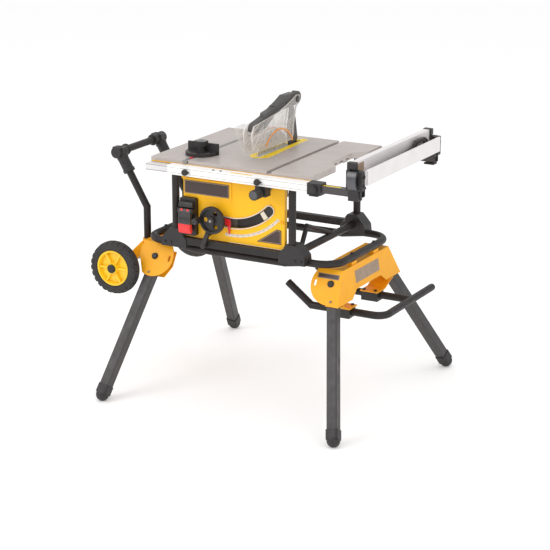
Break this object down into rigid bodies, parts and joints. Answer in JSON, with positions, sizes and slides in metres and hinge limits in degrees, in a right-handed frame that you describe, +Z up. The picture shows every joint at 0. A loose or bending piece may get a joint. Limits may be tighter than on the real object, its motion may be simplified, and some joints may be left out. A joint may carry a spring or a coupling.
{
  "type": "table saw",
  "caption": "Jobsite table saw with a tilting, height-adjusted blade under a clear guard, an extending rip fence, a mitre gauge and a folding stand with wheels.",
  "frame": {"origin": "on the floor under the middle of the whole outline", "axes": "+X to the operator's right, where the rails extend, +Y to the back, away from the operator, +Z up"},
  "size_m": [1.175, 1.038, 1.108],
  "materials": {
    "stand_black": "satin powder coat",
    "bracket_orange": "satin powder coat",
    "leg_grey": "satin powder coat",
    "panel_yellow": "satin paint",
    "throat_yellow": "satin paint",
    "table_aluminium": "fine machined",
    "rail_aluminium": "satin extruded",
    "inner_rail_black": "satin anodised look",
    "black_plastic": "fine texture",
    "grey_plastic": "semi gloss",
    "guard_plastic": "fine texture",
    "clear_shield": "clear polycarbonate",
    "tyre_rubber": "matt",
    "hub_yellow": "semi gloss",
    "zinc_steel": "zinc plated",
    "blade_steel": "ground",
    "knife_steel": "black oxide",
    "motor_grey": "cast",
    "carriage_grey": "satin",
    "badge_dark": "smooth",
    "scale_silver": "printed strip",
    "stop_red": "gloss",
    "start_green": "gloss"
  },
  "bodies": {
    "base": {"stand_loop": "stand_black", "left_bracket": "bracket_orange", "right_bracket": "bracket_orange", "stand_bolts": "zinc_steel", "upright_bar": "stand_black", "upright_elbows": "black_plastic", "lift_handle": "stand_black", "handle_clamps": "black_plastic", "wheel_axle": "zinc_steel", "roll_cage": "stand_black", "base_gussets": "black_plastic", "table_top": "table_aluminium", "throat_plate": "throat_yellow", "front_panel": "panel_yellow", "bevel_scale": "scale_silver", "panel_badges": "badge_dark", "switch_box": "black_plastic", "front_outer_rail": "rail_aluminium", "rear_outer_rail": "rail_aluminium", "rail_end_caps": "black_plastic", "rail_gear_cases": "black_plastic"},
    "front_wheel": {"front_tyre": "tyre_rubber", "front_wheel_hub": "hub_yellow"},
    "rear_wheel": {"rear_tyre": "tyre_rubber", "rear_wheel_hub": "hub_yellow"},
    "front_left_leg": {"front_left_leg": "leg_grey", "front_left_foot": "black_plastic"},
    "rear_left_leg": {"rear_left_leg": "leg_grey", "rear_left_foot": "black_plastic"},
    "front_right_leg": {"front_right_leg": "leg_grey", "front_right_foot": "black_plastic"},
    "rear_right_leg": {"rear_right_leg": "leg_grey", "rear_right_foot": "black_plastic"},
    "bevel": {"bevel_carriage": "carriage_grey", "bevel_pointer": "stop_red"},
    "lift": {"motor_housing": "motor_grey", "riving_knife": "knife_steel", "guard_arm": "guard_plastic"},
    "blade": {"arbor": "zinc_steel", "saw_blade": "blade_steel"},
    "left_guard": {"left_guard": "clear_shield"},
    "right_guard": {"right_guard": "clear_shield"},
    "crank": {"crank_wheel": "black_plastic"},
    "crank_knob": {"crank_knob": "black_plastic"},
    "bevel_lock": {"bevel_lock_lever": "black_plastic"},
    "start_button": {"start_button": "start_green"},
    "stop_paddle": {"stop_paddle": "stop_red"},
    "rails": {"front_inner_rail": "inner_rail_black", "rear_inner_rail": "inner_rail_black", "rip_fence": "rail_aluminium", "fence_heads": "black_plastic"},
    "adjuster": {"pinion_shaft": "zinc_steel", "adjust_knob": "black_plastic"},
    "front_latch": {"front_fence_latch": "grey_plastic"},
    "rear_latch": {"rear_fence_latch": "grey_plastic"},
    "narrow_fence": {"narrow_fence": "rail_aluminium"},
    "push_stick": {"push_stick": "black_plastic"},
    "mitre_bar": {"mitre_bar": "zinc_steel"},
    "mitre_head": {"mitre_head": "black_plastic"},
    "mitre_knob": {"mitre_knob": "black_plastic"}
  },
  "joints": [
    {"name": "front_wheel_spin", "type": "hinge", "parent": "base", "child": "front_wheel", "pos_m": [-0.4845, -0.287, 0.461], "axis": [0, 1, 0], "continuous": true},
    {"name": "rear_wheel_spin", "type": "hinge", "parent": "base", "child": "rear_wheel", "pos_m": [-0.4845, 0.287, 0.461], "axis": [0, 1, 0], "continuous": true},
    {"name": "front_left_leg_fold", "type": "hinge", "parent": "base", "child": "front_left_leg", "pos_m": [-0.3455, -0.222, 0.507], "axis": [0, -0.8508, 0.5255], "range_deg": [0, 97.5]},
    {"name": "rear_left_leg_fold", "type": "hinge", "parent": "base", "child": "rear_left_leg", "pos_m": [-0.3455, 0.222, 0.507], "axis": [0, -0.8508, -0.5255], "range_deg": [0, 97.5]},
    {"name": "front_right_leg_fold", "type": "hinge", "parent": "base", "child": "front_right_leg", "pos_m": [0.4025, -0.216, 0.505], "axis": [0, 0.8508, -0.5255], "range_deg": [0, 85.6]},
    {"name": "rear_right_leg_fold", "type": "hinge", "parent": "base", "child": "rear_right_leg", "pos_m": [0.4025, 0.216, 0.505], "axis": [0, 0.8508, 0.5255], "range_deg": [0, 85.6]},
    {"name": "bevel_tilt", "type": "hinge", "parent": "base", "child": "bevel", "pos_m": [0.0125, 0, 0.913], "axis": [0, -1, 0], "range_deg": [0, 45]},
    {"name": "blade_lift", "type": "slide", "parent": "bevel", "child": "lift", "axis": [0, 0, 1], "range_m": [-0.082, 0]},
    {"name": "blade_spin", "type": "hinge", "parent": "lift", "child": "blade", "pos_m": [0.0285, 0.022, 0.865], "axis": [1, 0, 0], "continuous": true},
    {"name": "left_guard_swing", "type": "hinge", "parent": "lift", "child": "left_guard", "pos_m": [0.0285, 0.185, 1.08], "axis": [1, 0, 0], "range_deg": [-50, 0]},
    {"name": "right_guard_swing", "type": "hinge", "parent": "lift", "child": "right_guard", "pos_m": [0.0285, 0.185, 1.08], "axis": [1, 0, 0], "range_deg": [-50, 0]},
    {"name": "crank_turn", "type": "hinge", "parent": "bevel", "child": "crank", "pos_m": [-0.05248, -0.28, 0.70177], "axis": [0, 1, 0], "continuous": true},
    {"name": "crank_knob_spin", "type": "hinge", "parent": "crank", "child": "crank_knob", "pos_m": [-0.09848, -0.32, 0.70177], "axis": [0, 1, 0], "continuous": true},
    {"name": "bevel_lock_turn", "type": "hinge", "parent": "bevel", "child": "bevel_lock", "pos_m": [-0.05248, -0.27, 0.70177], "axis": [0, -1, 0], "range_deg": [0, 40]},
    {"name": "start_press", "type": "slide", "parent": "base", "child": "start_button", "axis": [0, 1, 0], "range_m": [0, 0.003], "stiffness_N_per_m": 400},
    {"name": "stop_paddle_swing", "type": "hinge", "parent": "base", "child": "stop_paddle", "pos_m": [-0.1645, -0.29, 0.726], "axis": [-1, 0, 0], "range_deg": [-5, 60]},
    {"name": "rail_travel", "type": "slide", "parent": "base", "child": "rails", "axis": [1, 0, 0], "range_m": [-0.095, 0.32]},
    {"name": "adjuster_turn", "type": "hinge", "parent": "base", "child": "adjuster", "pos_m": [0.1705, -0.35, 0.842], "axis": [0, 1, 0], "continuous": true},
    {"name": "front_latch_swing", "type": "hinge", "parent": "rails", "child": "front_latch", "pos_m": [0.5455, -0.327, 0.955], "axis": [-1, 0, 0], "range_deg": [0, 50]},
    {"name": "rear_latch_swing", "type": "hinge", "parent": "rails", "child": "rear_latch", "pos_m": [0.5455, 0.327, 0.955], "axis": [1, 0, 0], "range_deg": [0, 50]},
    {"name": "narrow_fence_lift", "type": "slide", "parent": "rails", "child": "narrow_fence", "axis": [0, 0, 1], "range_m": [0, 0.09]},
    {"name": "push_stick_lift", "type": "slide", "parent": "rails", "child": "push_stick", "axis": [0, 0, 1], "range_m": [0, 0.1]},
    {"name": "mitre_slide", "type": "slide", "parent": "base", "child": "mitre_bar", "axis": [0, 1, 0], "range_m": [-0.15, 0.11]},
    {"name": "mitre_swing", "type": "hinge", "parent": "mitre_bar", "child": "mitre_head", "pos_m": [-0.1675, -0.168, 0.913], "axis": [0, 0, 1], "range_deg": [-60, 60]},
    {"name": "mitre_knob_turn", "type": "hinge", "parent": "mitre_head", "child": "mitre_knob", "pos_m": [-0.1675, -0.168, 0.94], "axis": [0, 0, 1], "continuous": true}
  ],
  "couplings": [
    {"joint": "crank_turn", "follows": "blade_lift", "rad_per_m": 766.2},
    {"joint": "left_guard_swing", "follows": "blade_lift", "rad_per_m": 10.642},
    {"joint": "right_guard_swing", "follows": "blade_lift", "rad_per_m": 10.642},
    {"joint": "adjuster_turn", "follows": "rail_travel", "rad_per_m": 62.5}
  ]
}
